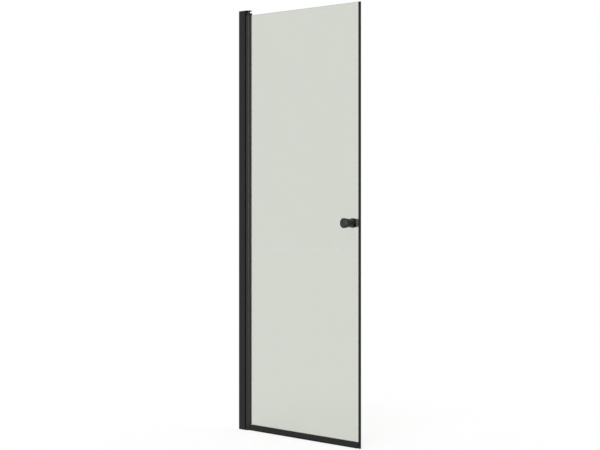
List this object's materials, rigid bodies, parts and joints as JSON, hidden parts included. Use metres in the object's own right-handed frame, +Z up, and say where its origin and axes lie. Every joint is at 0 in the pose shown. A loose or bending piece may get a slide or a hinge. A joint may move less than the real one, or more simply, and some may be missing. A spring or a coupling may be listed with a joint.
{
  "type": "hinged shower door",
  "caption": "Hinged glass shower door with a black wall channel, adjustable hinge post, rising barrel hinge, waisted knob, bottom rail with sweep seal and magnetic closing strip.",
  "frame": {"origin": "on the wall face, at floor level, in the middle of the glass thickness", "axes": "+X from the wall to the closing edge, -Y to the outside of the shower, +Z up"},
  "size_m": [0.9, 0.0835, 2],
  "materials": {
    "black_aluminium": "satin black anodised extrusion",
    "black_knob": "satin black turned metal",
    "black_plastic": "fine-textured black moulding",
    "black_seal": "soft black seal",
    "bearing_plastic": "smooth black bearing plastic",
    "steel": "stainless steel",
    "black_screw": "black-finished steel",
    "clear_washer": "translucent nylon",
    "magnet": "flexible magnetic strip",
    "glass": "pale grey-green toughened glass, slightly milky"
  },
  "bodies": {
    "wall": {"wall_profile": "black_aluminium"},
    "post": {"hinge_post": "black_aluminium", "hinge_seal": "black_seal", "top_cap": "black_plastic", "bottom_cap": "black_plastic", "cap_screws": "black_screw", "lock_screws": "steel", "screw_covers": "black_plastic", "top_pin": "black_screw", "bottom_pin": "steel", "fixed_cam": "bearing_plastic"},
    "lift": {"lift_bush": "bearing_plastic"},
    "door": {"moving_cam": "bearing_plastic", "hinge_profile": "black_aluminium", "hinge_head": "black_plastic", "glazing_gasket": "black_seal", "glass_panel": "glass", "bottom_rail": "black_aluminium", "sweep_seal": "black_seal", "rail_caps": "black_plastic", "edge_strip": "black_plastic", "magnet_strip": "magnet", "strip_plugs": "black_plastic", "outer_knob": "black_knob", "knob_ring": "black_plastic", "knob_sleeve": "clear_washer", "inner_washer": "black_seal", "knob_stud": "steel", "inner_knob": "black_knob", "grub_screw": "black_screw"}
  },
  "joints": [
    {"name": "post_adjust", "type": "slide", "parent": "wall", "child": "post", "axis": [1, 0, 0], "range_m": [0, 0.01]},
    {"name": "door_lift", "type": "slide", "parent": "post", "child": "lift", "axis": [0, 0, 1], "range_m": [0, 0.0061]},
    {"name": "door_swing", "type": "hinge", "parent": "lift", "child": "door", "pos_m": [0.0552, 0, 1], "axis": [0, 0, -1], "range_deg": [0, 90]}
  ],
  "couplings": [
    {"joint": "door_lift", "follows": "door_swing", "m_per_rad": 0.0038197}
  ]
}
